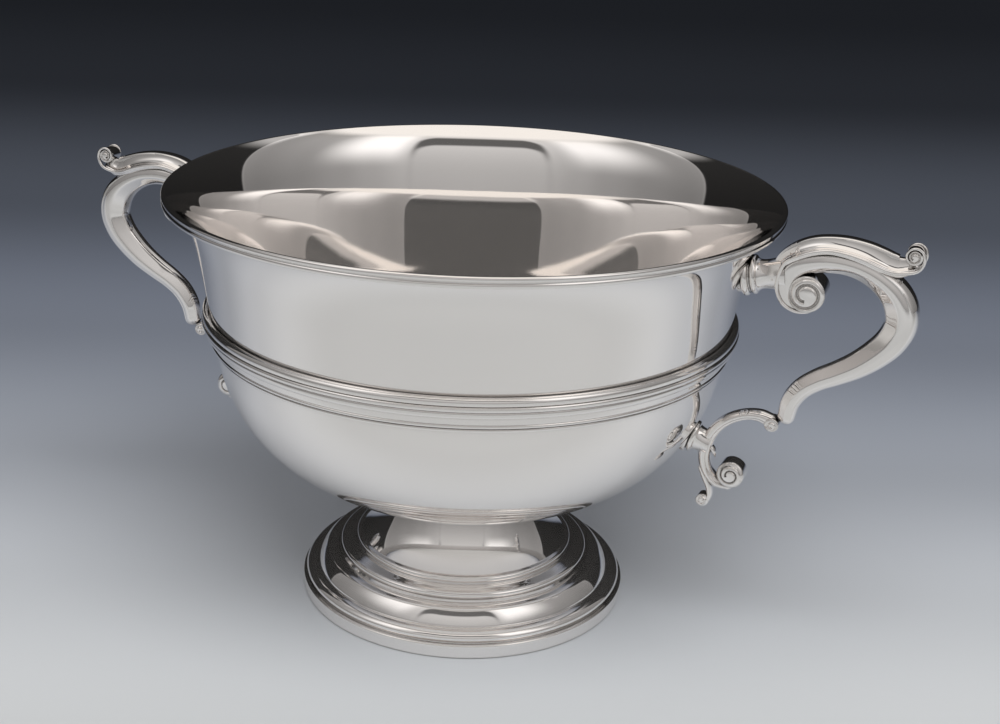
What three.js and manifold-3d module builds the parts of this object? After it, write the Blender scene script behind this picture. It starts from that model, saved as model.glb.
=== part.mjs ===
// Silver pedestal bowl with two scroll handles.
// Millimetres, +Z up. The origin is the centre of the foot, on the surface that it stands on.
// The handles lie along +X and -X. Every joint between pieces is soldered, drawn here as a narrow gap.
import * as THREE from 'three';
import Module from 'manifold-3d';
import { mergeVertices } from 'three/addons/utils/BufferGeometryUtils.js';

const wasm = await Module();
wasm.setup();

// Bowl body, spun from one sheet
const SHEET = 1.2;
const LIP_RADIUS = 165;
const LIP_HEIGHT = 234.4;
const WALL_BOTTOM = { r: 142.1, z: 170 };
const FLARE_START = { r: 146.25, z: 196 };
const BELLY_RADIUS = 139.8;
const BELLY_CENTRE = 168;
const BELLY_DEPTH = 107.5;
const BELLY_POWER = 2.4;
const BELLY_TOP_ANGLE = THREE.MathUtils.degToRad(8.94);

// Foot, spun from one sheet and stiffened by a band
const FOOT_RADIUS = 92.6;
const FOOT_BAND_HEIGHT = 8;
const FOOT_BAND_THICKNESS = 4;
const FOOT_STEP_RADIUS = 61;
const FOOT_STEP_HEIGHT = 31.6;
const FOOT_RING_RADIUS = 70;
const NECK_RADIUS = 41.5;
const NECK_TOP = 57.5;
const COLLAR_RADIUS = 44.5;

// Handles, measured in the upright plane y = 0 from the bowl's axis
const VOLUTE_X = 181.1;
const VOLUTE_Z = 202.1;
const VOLUTE_RADIUS = 9.3;
const VOLUTE_HALF_WIDTH = 8.8;
const THUMB_X = 230;
const THUMB_Z = 227.1;
const THUMB_RADIUS = 4.9;
const BALL_X = 151.7;
const BALL_Z = 96.9;
const BALL_RADIUS = 7.2;
const SPUR_CURL_X = 137.7;
const SPUR_CURL_Z = 78.6;
const SPUR_CURL_RADIUS = 3.5;
const HEAD = { x: 170.2, z: 128.3, radius: 3.8, halfWidth: 5.2 };
const BUD = { x: 141.4, z: 105, radius: 2.4, halfWidth: 3.6 };
const UPPER_AXIS = { x: 143, z: 205.2, tilt: 9 };
const LOWER_AXIS = { x: 126.3, z: 114.7, tilt: -16 };

// Fit and fineness
const GAP = 0.3;
const RING_SEGMENTS = 36;
const SMALL_SEGMENTS = 16;
const CURL_SEGMENTS = 14;
const BUD_SEGMENTS = 12;
const GRIP_RINGS = 38;
const STRAP_RINGS = 20;
const BRACKET_RINGS = 22;
const SPUR_RINGS = 9;
const END_RINGS = 2;
const END_ANGLE = 1.35;
const MERGE_DISTANCE = 1e-4;
const FINE = { belly: 11, shoulder: 2, wall: 2, flare: 7 };
const COARSE = { belly: 7, shoulder: 1, wall: 1, flare: 5 };

const silver = (name) => new THREE.MeshStandardMaterial({
  name,
  color: 0xcfccc6,
  roughness: 0.12,
  metalness: 1,
});

const point = (r, z) => new THREE.Vector2(r, z);

// Points of a round stretch of profile, from one angle to another in degrees.
function arc(centreR, centreZ, radius, from, to, steps) {
  return Array.from({ length: steps + 1 }, (_, i) => {
    const angle = THREE.MathUtils.degToRad(from + ((to - from) * i) / steps);
    return point(centreR + radius * Math.cos(angle), centreZ + radius * Math.sin(angle));
  });
}

// Points of a cubic curve through four control points.
function curve(a, b, c, d, steps) {
  return new THREE.CubicBezierCurve(a, b, c, d).getPoints(steps);
}

// The same profile moved sideways, to the left of its direction for a positive distance.
function offset(points, distance) {
  return points.map((here, i) => {
    const before = points[Math.max(i - 1, 0)];
    const after = points[Math.min(i + 1, points.length - 1)];
    const along = after.clone().sub(before).normalize();
    return point(here.x - along.y * distance, here.y + along.x * distance);
  });
}

// A body turned about +Z. The profile runs up the outside and down the inside.
function turned(points, segments = RING_SEGMENTS) {
  const geometry = new THREE.LatheGeometry(points, segments);
  geometry.rotateX(Math.PI / 2);
  return geometry;
}

// A ring turned about +Z from a profile that closes on itself.
function turnedRing(points, segments = RING_SEGMENTS) {
  return turned([...points, points[0]], segments);
}

function toManifold(geometry) {
  const bare = geometry.clone();
  bare.deleteAttribute('normal');
  bare.deleteAttribute('uv');
  const merged = mergeVertices(bare, MERGE_DISTANCE);
  return new wasm.Manifold(new wasm.Mesh({
    numProp: 3,
    vertProperties: new Float32Array(merged.attributes.position.array),
    triVerts: new Uint32Array(merged.index.array),
  }));
}

function toGeometry(manifold) {
  const mesh = manifold.getMesh();
  const geometry = new THREE.BufferGeometry();
  geometry.setAttribute('position', new THREE.BufferAttribute(new Float32Array(mesh.vertProperties), 3));
  geometry.setIndex(new THREE.BufferAttribute(new Uint32Array(mesh.triVerts), 1));
  geometry.computeVertexNormals();
  return geometry;
}

function joined(...geometries) {
  return toGeometry(geometries.map(toManifold).reduce((sum, next) => sum.add(next)));
}

function cut(geometry, ...tools) {
  return toGeometry(tools.map(toManifold).reduce((rest, tool) => rest.subtract(tool), toManifold(geometry)));
}

// Outer face of the bowl, from the centre of its underside to the start of the lip's edge.
function bowlOuterProfile(steps = FINE) {
  const power = 2 / BELLY_POWER;
  const belly = Array.from({ length: steps.belly + 1 }, (_, i) => {
    const angle = Math.PI / 2 + ((BELLY_TOP_ANGLE - Math.PI / 2) * i) / steps.belly;
    return point(
      BELLY_RADIUS * Math.max(Math.cos(angle), 0) ** power,
      BELLY_CENTRE - BELLY_DEPTH * Math.sin(angle) ** power,
    );
  });
  belly[0].x = 0;
  const end = belly[steps.belly];
  const shoulder = curve(
    end,
    point(end.x + 1.24, end.y + 8.25),
    point(WALL_BOTTOM.r - 1.24, WALL_BOTTOM.z - 8.25),
    point(WALL_BOTTOM.r, WALL_BOTTOM.z),
    steps.shoulder,
  );
  const wall = curve(
    point(WALL_BOTTOM.r, WALL_BOTTOM.z),
    point(WALL_BOTTOM.r + 1.2, WALL_BOTTOM.z + 8),
    point(FLARE_START.r - 1.7, FLARE_START.z - 9),
    point(FLARE_START.r, FLARE_START.z),
    steps.wall,
  );
  const flare = curve(
    point(FLARE_START.r, FLARE_START.z),
    point(FLARE_START.r + 2.5, FLARE_START.z + 13.4),
    point(LIP_RADIUS - 11.9, LIP_HEIGHT - 9.4),
    point(LIP_RADIUS - 0.8, LIP_HEIGHT - 1),
    steps.flare,
  );
  return [...belly, ...shoulder.slice(1), ...wall.slice(1), ...flare.slice(1)];
}

function bowlBody() {
  const outer = bowlOuterProfile();
  const inner = offset(bowlOuterProfile(COARSE), SHEET).reverse();
  inner[inner.length - 1].x = 0;
  inner[0] = point(LIP_RADIUS - 0.9, LIP_HEIGHT);
  const edge = point(LIP_RADIUS, LIP_HEIGHT - SHEET / 2);
  return turned([...outer, edge, ...inner]);
}

// Solid of the bowl's outer face, grown by the gap, which seats the pieces soldered to it.
function bowlSeat() {
  const outer = offset(bowlOuterProfile(), -GAP);
  outer[0].x = 0;
  return turned([...outer, point(0, LIP_HEIGHT)]);
}

// Drawn half-round wire under the lip, whose rolled edge makes the second reed of the rim.
function rimWire() {
  const against = offset(bowlOuterProfile().slice(-3), -GAP).reverse();
  return turnedRing([
    point(160.4, 228.9),
    ...arc(LIP_RADIUS - 1.6, 230.2, 1.5, -100, 50, 4),
    ...against.slice(0, -1),
  ]);
}

// Drawn wire of a broad reed, a bead and a smaller reed round the middle of the bowl.
function girdleMoulding() {
  return turnedRing([
    point(140.9, 159.4),
    ...arc(143, 161.4, 2.4, -60, 60, 3),
    ...arc(145.2, 164.3, 1.3, -60, 60, 2),
    ...arc(143.6, 167.3, 2.7, -35, 80, 3),
    point(142.9, 170),
    point(142.5, 167.5),
    point(141.6, 163),
  ]);
}

// Flat fillet with two fine reeds below it.
function girdleLowerWire() {
  return turnedRing([
    point(139.7, 151.2),
    point(140.4, 151.4),
    point(141.2, 152.6),
    point(140.9, 153.4),
    point(141.9, 154.4),
    point(142.2, 155.6),
    point(142.6, 159.1),
    point(140.9, 159.1),
    point(140.3, 155.5),
  ]);
}

// Outer face of the foot, from its seat on the band up to the top of the neck.
function footOuterProfile() {
  return [
    point(91.4, FOOT_BAND_HEIGHT + GAP),
    point(91.2, 9.6),
    point(90.3, 11.8),
    point(88, 13.7),
    point(84.2, 14.3),
    point(83.4, 15.2),
    point(81.6, 18.4),
    point(79, 21.3),
    point(77.2, 22.3),
    point(72.2, 22.6),
    point(FOOT_RING_RADIUS, 23),
    ...arc(FOOT_RING_RADIUS - 1.2, 25.2, 1.8, -25, 85, 2),
    point(FOOT_STEP_RADIUS + 1.2, 28.2),
    ...arc(FOOT_STEP_RADIUS - 1, 30, 1.6, -30, 80, 2),
    ...curve(
      point(FOOT_STEP_RADIUS - 2.4, FOOT_STEP_HEIGHT + 0.1),
      point(FOOT_STEP_RADIUS - 7.5, FOOT_STEP_HEIGHT + 3.6),
      point(NECK_RADIUS + 2, FOOT_STEP_HEIGHT + 10.4),
      point(NECK_RADIUS, NECK_TOP),
      5,
    ),
  ];
}

// The inside of the foot follows its larger steps and is open underneath.
function footDome() {
  const inner = [
    point(NECK_RADIUS - SHEET, NECK_TOP),
    ...curve(
      point(NECK_RADIUS - SHEET, 52),
      point(NECK_RADIUS + 1.5, 42),
      point(52, 33.5),
      point(FOOT_STEP_RADIUS - 3, FOOT_STEP_HEIGHT - 2),
      3,
    ),
    point(FOOT_STEP_RADIUS - 1.6, 26.6),
    point(FOOT_RING_RADIUS - 2.4, 25),
    point(FOOT_RING_RADIUS - 2, 21.2),
    ...curve(point(71, 20.8), point(78, 20), point(84, 15.6), point(85.6, FOOT_BAND_HEIGHT + GAP), 3),
  ];
  return turnedRing([...footOuterProfile(), ...inner]);
}

// Plain upright band that the foot stands on.
function footBand() {
  return turnedRing([
    point(FOOT_RADIUS - FOOT_BAND_THICKNESS, 0),
    point(FOOT_RADIUS - 0.9, 0),
    point(FOOT_RADIUS - 0.4, 0.6),
    point(FOOT_RADIUS, FOOT_BAND_HEIGHT - 0.8),
    point(FOOT_RADIUS - 0.6, FOOT_BAND_HEIGHT),
    point(FOOT_RADIUS - FOOT_BAND_THICKNESS, FOOT_BAND_HEIGHT),
  ]);
}

// Ring that joins the neck of the foot to the bowl.
function footCollar(seat) {
  const bottom = NECK_TOP + GAP;
  const ring = turnedRing([
    point(NECK_RADIUS - 4, bottom),
    point(COLLAR_RADIUS - 1, bottom),
    point(COLLAR_RADIUS, bottom + 1.5),
    point(COLLAR_RADIUS - 1, bottom + 6),
    point(NECK_RADIUS - 4, bottom + 6),
  ]);
  return cut(ring, seat);
}

// Body swept along stations [x, z, rise, side] in the plane y = 0. The outline gives the section's
// points as parts of the rise, to the left of the path, and of the side, towards -Y. Both ends are rounded.
function scrollBar(stations, outline, rings, grow = 0) {
  const smooth = (points) => new THREE.CatmullRomCurve3(points, false, 'centripetal');
  const path = smooth(stations.map(([x, z]) => new THREE.Vector3(x, 0, z)));
  const size = smooth(stations.map(([, , rise, side]) => new THREE.Vector3(rise, side, 0)));
  const sides = outline.length;
  const vertices = [];
  const addRing = (t, shrink, shift) => {
    const centre = path.getPoint(t);
    const along = path.getTangent(t);
    const { x: rise, y: side } = size.getPoint(t);
    outline.forEach(([up, out]) => {
      const lift = up * (rise + grow) * shrink;
      vertices.push(
        centre.x + along.x * shift - along.z * lift,
        -out * (side + grow) * shrink,
        centre.z + along.z * shift + along.x * lift,
      );
    });
  };
  const addEndRing = (t, step, direction) => {
    const angle = (step / END_RINGS) * END_ANGLE;
    addRing(t, Math.cos(angle), direction * (size.getPoint(t).x + grow) * Math.sin(angle));
  };
  for (let i = END_RINGS; i > 0; i -= 1) {
    addEndRing(0, i, -1);
  }
  for (let i = 0; i <= rings; i += 1) {
    addRing(i / rings, 1, 0);
  }
  for (let i = 1; i <= END_RINGS; i += 1) {
    addEndRing(1, i, 1);
  }
  return closedLoft(vertices, sides);
}

// Closes rings of vertices, all with the same number of sides, into one body.
function closedLoft(vertices, sides) {
  const rings = vertices.length / 3 / sides;
  const index = [];
  for (let ring = 0; ring < rings - 1; ring += 1) {
    for (let i = 0; i < sides; i += 1) {
      const a = ring * sides + i;
      const b = ring * sides + ((i + 1) % sides);
      index.push(a, b, a + sides, b, b + sides, a + sides);
    }
  }
  const last = (rings - 1) * sides;
  for (let i = 1; i < sides - 1; i += 1) {
    index.push(0, i + 1, i, last, last + i, last + i + 1);
  }
  const geometry = new THREE.BufferGeometry();
  geometry.setAttribute('position', new THREE.BufferAttribute(new Float32Array(vertices), 3));
  geometry.setIndex(index);
  return geometry;
}

const oval = (sides) => Array.from({ length: sides }, (_, i) => {
  const angle = (i / sides) * 2 * Math.PI;
  return [Math.cos(angle), Math.sin(angle)];
});

// Section of the strap: beaded edges, hollow flanks and a narrow raised top.
const STRAP_SECTION = [
  [1.05, 0], [0.98, 0.34], [0.42, 0.58], [0.2, 0.84], [0.16, 1], [-0.1, 1.02], [-0.3, 0.75],
  [-0.3, -0.75], [-0.1, -1.02], [0.16, -1], [0.2, -0.84], [0.42, -0.58], [0.98, -0.34],
];

// Button turned about an axis along Y, with the same face on both sides.
function button(x, z, face, segments = SMALL_SEGMENTS) {
  const half = face.map(([r, y]) => point(r, y));
  const mirrored = half.map(({ x: r, y }) => point(r, -y)).reverse();
  const geometry = new THREE.LatheGeometry([...mirrored, ...half], segments);
  geometry.translate(x, 0, z);
  return geometry;
}

// Main scroll: out of the big volute, over the crest, round the bend and down to a rounded tail.
const GRIP_STATIONS = [
  [185.5, 196.5, 2.2, 7],
  [179.6, 194.7, 2.6, 7.4],
  [173.3, 196.7, 3.3, 7.7],
  [169.9, 202.4, 4, 8],
  [170.8, 209.5, 4.9, 8.2],
  [175.3, 214.8, 5.5, 8.3],
  [182.5, 217.7, 5.8, 8.3],
  [190.5, 219, 6.1, 8.3],
  [199, 218.7, 6, 8.3],
  [207.3, 216.7, 6.3, 8.3],
  [215.8, 212.4, 7, 8.4],
  [222.8, 206.4, 8, 8.5],
  [226.8, 199, 8.5, 8.6],
  [227.4, 191, 8.3, 8.5],
  [224, 182.4, 8, 8.3],
  [218.4, 175.4, 7.6, 8],
  [209.6, 167.6, 6.9, 7.6],
  [200.4, 161.6, 6.2, 7],
  [190.6, 156, 5.7, 6.5],
  [183.1, 149.8, 5.4, 6],
  [178.4, 142, 5.1, 5.6],
  [176.9, 133.8, 4.6, 5],
];

function gripScroll(grow = 0) {
  const bar = scrollBar(GRIP_STATIONS, oval(10), GRIP_RINGS, grow);
  const drum = button(VOLUTE_X, VOLUTE_Z, [
    [VOLUTE_RADIUS + grow, 7.6 + grow],
    [VOLUTE_RADIUS - 0.7, VOLUTE_HALF_WIDTH + grow],
    [6.6, VOLUTE_HALF_WIDTH + 0.3 + grow],
    [5.6, VOLUTE_HALF_WIDTH - 0.6 + grow],
    [5, VOLUTE_HALF_WIDTH + 0.5 + grow],
    [3, VOLUTE_HALF_WIDTH + 1.3 + grow],
    [0, VOLUTE_HALF_WIDTH + 1.6 + grow],
  ]);
  return joined(bar, drum);
}

// Cap over the crest, which leaves the grip as a thumb scroll. The rise is to its raised top.
const STRAP_STATIONS = [
  [166.3, 211.8, 4.2, 7.6],
  [169.2, 216.4, 5.2, 8.6],
  [175.2, 220.6, 6.2, 9.2],
  [182.6, 223.9, 6.4, 9.4],
  [190.2, 225.4, 6.3, 9.5],
  [198, 224.9, 7, 9.5],
  [207, 222.8, 7.8, 9.2],
  [213, 220.5, 8.3, 8.4],
  [218, 218.6, 8.4, 7.2],
  [223.4, 217.8, 7.8, 6],
  [228, 219.2, 6, 5.2],
];

function thumbStrap(grow = 0) {
  const cap = scrollBar(STRAP_STATIONS, STRAP_SECTION, STRAP_RINGS, grow);
  const curl = button(THUMB_X, THUMB_Z, [
    [THUMB_RADIUS + grow, 4.2 + grow],
    [THUMB_RADIUS - 0.6, 5 + grow],
    [3.4, 4.8 + grow],
    [2.6, 5.4 + grow],
    [0, 5.9 + grow],
  ], CURL_SEGMENTS);
  return joined(cap, curl);
}

// Lower bracket: a C-scroll from a small curl against the grip's tail, round to a ball volute.
const BRACKET_STATIONS = [
  [169.4, 129.6, 3.6, 4.2],
  [164, 131.4, 3.2, 4.4],
  [157, 131, 2.8, 4.5],
  [149.9, 128.1, 2.9, 4.6],
  [143.6, 123.2, 3, 4.8],
  [139, 116.5, 3.3, 5],
  [136.7, 109, 3.4, 5],
  [136.7, 101.5, 3.3, 4.9],
  [139.4, 94.6, 3, 4.8],
  [144.4, 90.2, 2.8, 5],
  [150.5, 89.6, 2.6, 5.2],
];

function lowerBracket(grow = 0) {
  const band = scrollBar(BRACKET_STATIONS, oval(8), BRACKET_RINGS, grow);
  const ball = button(BALL_X, BALL_Z, [
    [BALL_RADIUS + grow, 2.4],
    [BALL_RADIUS - 0.9 + grow, 5.4],
    [5, 6.8 + grow],
    [3.4, 6.2 + grow],
    [2.6, 7 + grow],
    [0, 7.5 + grow],
  ]);
  const head = button(HEAD.x, HEAD.z, [
    [HEAD.radius + grow, 3.4],
    [HEAD.radius - 1, HEAD.halfWidth - 0.6 + grow],
    [0, HEAD.halfWidth + grow],
  ]);
  const bud = button(BUD.x, BUD.z, [
    [BUD.radius + grow, 1.2],
    [BUD.radius - 0.9, BUD.halfWidth - 0.6 + grow],
    [0, BUD.halfWidth + grow],
  ], BUD_SEGMENTS);
  return joined(band, ball, head, bud);
}

// Thin tail below the bracket that curls inwards.
const SPUR_STATIONS = [
  [135.4, 97, 1.8, 3.6],
  [137.9, 91.6, 2, 3.4],
  [140.2, 86.4, 1.8, 3.1],
  [140.9, 81.4, 1.6, 3],
  [139.4, 77.2, 1.4, 3],
];

function bracketSpur(bracketSeat) {
  const tail = scrollBar(SPUR_STATIONS, oval(6), SPUR_RINGS);
  const curl = button(SPUR_CURL_X, SPUR_CURL_Z, [
    [SPUR_CURL_RADIUS, 2.4],
    [SPUR_CURL_RADIUS - 0.7, 3.4],
    [0, 4.2],
  ], CURL_SEGMENTS);
  return cut(joined(tail, curl), bracketSeat);
}

// Turned piece whose axis leaves the bowl's wall at a tilt, from a profile of [distance, radius].
function onAxis(axis, profile, segments = SMALL_SEGMENTS) {
  const geometry = new THREE.LatheGeometry(profile.map(([distance, r]) => point(r, distance)), segments);
  geometry.rotateZ(-Math.PI / 2);
  geometry.rotateY(-THREE.MathUtils.degToRad(axis.tilt));
  geometry.translate(axis.x, 0, axis.z);
  return geometry;
}

function upperPlate(seat) {
  return cut(onAxis(UPPER_AXIS, [[-3, 0], [-3, 8.8], [4.4, 8.8], [5.2, 8.2], [5.2, 0]]), seat);
}

function upperSocket(...seats) {
  const profile = [
    [5.5, 0], [5.5, 9.8], [6.1, 10.7], [7.3, 10.8], [8.6, 9.1], [10.2, 9.9], [12, 9.8], [13.4, 8.2], [17, 7.4],
    [21, 8.2], [27, 9], [27, 0],
  ];
  return cut(onAxis(UPPER_AXIS, profile), ...seats);
}

function lowerPlate(seat) {
  return cut(onAxis(LOWER_AXIS, [[-4, 0], [-4, 10], [1.2, 10], [2, 9.2], [2, 0]]), seat);
}

function lowerSocket(...seats) {
  const profile = [
    [2.3, 0], [2.3, 7.8], [3, 8.4], [4.4, 8.4], [5.2, 7.6], [6, 6.8], [8, 6.4], [13, 6.6], [13, 0],
  ];
  return cut(onAxis(LOWER_AXIS, profile), ...seats);
}

function piece(name, geometry) {
  const mesh = new THREE.Mesh(geometry, silver(name));
  mesh.name = name;
  return mesh;
}

function handle(side, seat) {
  const grip = gripScroll();
  const gripSeat = gripScroll(GAP);
  const strap = cut(thumbStrap(), gripSeat);
  const bracket = cut(lowerBracket(), gripSeat);
  const bracketSeat = lowerBracket(GAP);
  const group = new THREE.Group();
  group.add(
    piece(`${side}_upper_plate`, upperPlate(seat)),
    piece(`${side}_upper_socket`, upperSocket(seat, gripSeat, thumbStrap(GAP))),
    piece(`${side}_grip_scroll`, grip),
    piece(`${side}_thumb_strap`, strap),
    piece(`${side}_lower_plate`, lowerPlate(seat)),
    piece(`${side}_lower_socket`, lowerSocket(seat, bracketSeat)),
    piece(`${side}_bracket_scroll`, bracket),
    piece(`${side}_bracket_spur`, bracketSpur(bracketSeat)),
  );
  return group;
}

const seat = bowlSeat();
const bowl = new THREE.Group();
bowl.add(
  piece('bowl_body', bowlBody()),
  piece('rim_wire', rimWire()),
  piece('girdle_moulding', girdleMoulding()),
  piece('girdle_lower_wire', girdleLowerWire()),
  piece('foot_collar', footCollar(seat)),
  piece('foot_dome', footDome()),
  piece('foot_band', footBand()),
);
const right = handle('right', seat);
const left = handle('left', seat);
left.rotation.z = Math.PI;
bowl.add(right, left);

export default bowl;
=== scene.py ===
import math

import bpy
import numpy as np
from mathutils import Matrix, Vector


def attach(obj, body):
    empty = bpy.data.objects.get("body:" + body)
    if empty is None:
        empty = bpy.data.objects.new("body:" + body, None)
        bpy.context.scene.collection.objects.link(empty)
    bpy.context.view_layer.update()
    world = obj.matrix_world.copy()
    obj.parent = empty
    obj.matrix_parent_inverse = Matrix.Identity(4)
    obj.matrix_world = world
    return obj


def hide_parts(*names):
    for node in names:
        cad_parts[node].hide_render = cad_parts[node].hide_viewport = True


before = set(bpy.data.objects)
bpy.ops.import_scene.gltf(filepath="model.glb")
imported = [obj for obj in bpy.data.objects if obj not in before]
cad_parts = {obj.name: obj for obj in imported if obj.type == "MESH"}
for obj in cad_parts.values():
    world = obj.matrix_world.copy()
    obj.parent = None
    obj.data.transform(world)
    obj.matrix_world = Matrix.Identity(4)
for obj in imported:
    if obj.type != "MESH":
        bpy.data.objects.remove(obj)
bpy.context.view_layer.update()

# Looks of a silver pedestal bowl with two scroll handles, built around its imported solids.
# Outlines are written in millimetres and turned into metres by MM.
MM = 0.001

# Camera, placed as the photographer's was, in degrees and metres
CAMERA_AZIMUTH = 21.49
CAMERA_DISTANCE = 0.792
CAMERA_HEIGHT = 0.4276
CAMERA_PITCH = 20.386
CAMERA_ROLL = 1.624
CAMERA_PAN = 0.476
CAMERA_LENS = 54.53
CAMERA_SHIFT = (0.043, 0.0012)
CAMERA_SENSOR = 36.0
CAMERA_CLIP = (0.01, 20)

# Floor, as [metres behind the bowl, brightness], and its tint near the camera and far behind the bowl. The
# brightness and tints are painted shade: the studio light's fall-off towards the back, put into the floor's
# colour.
FLOOR_REACH = 7.0
FLOOR_PAINTED_FALLOFF = [
    (-0.95, 0.57), (-0.45, 0.525), (-0.26, 0.58), (-0.12, 0.69), (0.0, 0.61),
    (0.18, 0.42), (0.44, 0.26), (0.85, 0.125), (1.6, 0.040), (2.6, 0.027),
]
FLOOR_NEAR_TINT = (0.97, 1.0, 1.015)
FLOOR_FAR_TINT = (0.84, 0.96, 1.225)
FLOOR_TINT_SPAN = (-0.3, 0.7)
FLOOR_ROUGHNESS = 0.9

# Light of the room by direction, in degrees: an azimuth from the camera's side, positive to its right, and
# a height.
# The brightness follows [azimuth to either side, brightness] and rises with the height.
ROOM_TONES = [
    (0, 0.41), (30, 0.40), (48, 0.33), (62, 0.275), (84, 0.22), (108, 0.19),
    (115.2, 0.20), (116.2, 0.25), (117.4, 0.014),
]
ROOM_EDGE_BOW = 0.003
ROOM_RISE = 0.0145
ROOM_LEVEL = 0.8
ROOM_TINT = (1.02, 1.0, 0.99)
# The back wall shows above the dark cloth behind the bowl
BACK_TONE = 0.45
BACK_SIDE = (116, 126)
BACK_EDGE = (40.0, 50.0)
CEILING_TONE = 0.95
CEILING_EDGE = (59.0, 66.0)
CEILING_TINT = (1.0, 0.955, 0.905)
CEILING_TINT_SPAN = (50, 70)
# Each as edges of [0, 1] on the left, [1, 0] on the right, [0, 1] below and [1, 0] above, and its brightness
SOFTBOXES = [
    ((28, 41), (54, 82), (18, 45), (58, 66), 1.12),
    ((-104, -66), (-56, -40), (18, 50), (58, 66), 1.02),
]
# A window frame ahead, as [azimuth, half width, top, corner] of its outside and of its inside, its
# brightness, the heights between which it comes out and the share that shows below them
FRAME_OUTSIDE = (-3.0, 33.5, 59.0, 9.0)
FRAME_INSIDE = (-2.6, 31.0, 45.5, 9.5)
FRAME_TONE = 0.11
FRAME_FADE = (24, 47)
FRAME_LOW_SHARE = 0.12
FRAME_SOFTNESS = 2.0

# Lamp over the bowl: place and aim in metres, diameter in metres and power in watts
LAMP_PLACE = (0.45, -0.75, 1.5)
LAMP_AIM = (0.1, -0.2, 0.0)
LAMP_SIZE = 1.1
LAMP_POWER = 14.0

# Bowl body
SHEET = 1.2
LIP_RADIUS = 165.0
LIP_HEIGHT = 234.4
LIP_EDGE = (163.4, 233.2)
LIP_ANGLE = 52.2
WALL_BOTTOM = (142.1, 170.0)
FLARE_START = (146.25, 196.0)
FLARE_TURN = (0.182, 0.983)
FLARE_REACH = (13.6, 14.0)
BELLY_RADIUS = 139.8
BELLY_CENTRE = 168.0
BELLY_DEPTH = 107.5
BELLY_POWER = 2.4
BELLY_TOP_ANGLE = 8.94
SHOULDER_LEAN = (1.24, 8.25)

# Foot
FOOT_RADIUS = 92.6
FOOT_BAND_HEIGHT = 8.0
FOOT_BAND_THICKNESS = 4.0
FOOT_STEP_RADIUS = 61.0
FOOT_STEP_HEIGHT = 31.6
FOOT_RING_RADIUS = 70.0
NECK_RADIUS = 41.5
NECK_TOP = 57.5
COLLAR_RADIUS = 44.5

# Handles, measured in the upright plane y = 0
VOLUTE = (181.1, 202.1)
VOLUTE_RADIUS = 9.3
VOLUTE_HALF_WIDTH = 8.8
THUMB = (230.0, 227.1)
THUMB_RADIUS = 4.9
THUMB_WIRE = 0.6
BALL = (151.7, 96.9)
BALL_RADIUS = 7.2
SPUR_CURL = (137.7, 78.6)
SPUR_CURL_RADIUS = 3.5
HEAD = (170.2, 128.3)
HEAD_RADIUS = 3.8
UPPER_AXIS = (143.0, 205.2, 9.0)
LOWER_AXIS = (126.3, 114.7, -16.0)

# Painted shade in crevices, standing in for the shade that falls there: its dark colour, the reach in metres
# of the occlusion that finds nooks, and how far it darkens grooves and nooks
CREVICE_PAINTED_SHADE = (0.10, 0.09, 0.08)
NOOK_DEPTH = 0.0022
GROOVE_PAINTED_SHADE = 0.75
NOOK_PAINTED_SHADE = 0.9
GROOVE_DULLNESS = 0.25

# Patterns on the silver, in repeats for each metre with turns in radians
CLOUD_SCALE = 22.0
WIPE_SCALE = (160.0, 160.0, 900.0)
WIPE_TURN = (0.3, 0.2, 0.0)
WIPE_GAIN = 2.2
SWELL_SCALE = 26.0
HAIRLINE_SCALE = (2600.0, 500.0, 2600.0)
HAIRLINE_TURN = (0.5, 0.4, 0.9)
# The haze between and on the hairlines, as parts of a metal's own, which fades out between these heights in
# metres to the share that the lip keeps
HAZE_RANGE = (0.85, 1.5)
WORN_HEIGHT = (0.198, 0.214)
LIP_HAZE = 0.05

# Metals, as [colour, polish, depth of the hammer's wave, depth of scratches, haze] with the depths in metres
SPUN_LOOK = ((0.965, 0.935, 0.912), 0.02, 0.00006, 0.0000006, 0.1)
FOOT_LOOK = ((0.955, 0.925, 0.902), 0.03, 0.00003, 0.0000004, 0.04)
DRAWN_LOOK = ((0.945, 0.915, 0.892), 0.04, 0.00001, 0.0000004, 0.03)
CAST_LOOK = ((0.935, 0.905, 0.882), 0.02, 0.00002, 0.0000004, 0.02)

# Fineness
BOWL_SEGMENTS = 224
FOOT_SEGMENTS = 192
SOCKET_SEGMENTS = 72
FACE_SEGMENTS = 96
SHARP_ANGLE = math.radians(50)


def arc(centre_r, centre_z, radius, start, end, steps):
    """Points of a round stretch of outline, between two angles in degrees."""
    angles = np.radians(np.linspace(start, end, steps + 1))
    return np.stack([centre_r + radius * np.cos(angles), centre_z + radius * np.sin(angles)], 1)


def bezier(a, b, c, d, steps):
    """Points of a cubic curve through four control points."""
    t = np.linspace(0, 1, steps + 1)[:, None]
    a, b, c, d = (np.array(p, float) for p in (a, b, c, d))
    return a * (1 - t) ** 3 + 3 * b * t * (1 - t) ** 2 + 3 * c * t ** 2 * (1 - t) + d * t ** 3


def line(a, b, steps):
    """Points of a straight stretch."""
    t = np.linspace(0, 1, steps + 1)[:, None]
    return np.array(a, float) * (1 - t) + np.array(b, float) * t


def offset(points, distance):
    """The same outline moved to the left of its direction."""
    along = np.gradient(points, axis=0)
    along /= np.linalg.norm(along, axis=1, keepdims=True)
    return points + distance * np.stack([-along[:, 1], along[:, 0]], 1)


def chain(*stretches):
    """One outline from several stretches, leaving out points that repeat."""
    points = np.concatenate([np.atleast_2d(np.array(s, float)) for s in stretches])
    keep = np.ones(len(points), bool)
    keep[1:] = np.linalg.norm(np.diff(points, axis=0), axis=1) > 0.02
    return points[keep]


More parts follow.
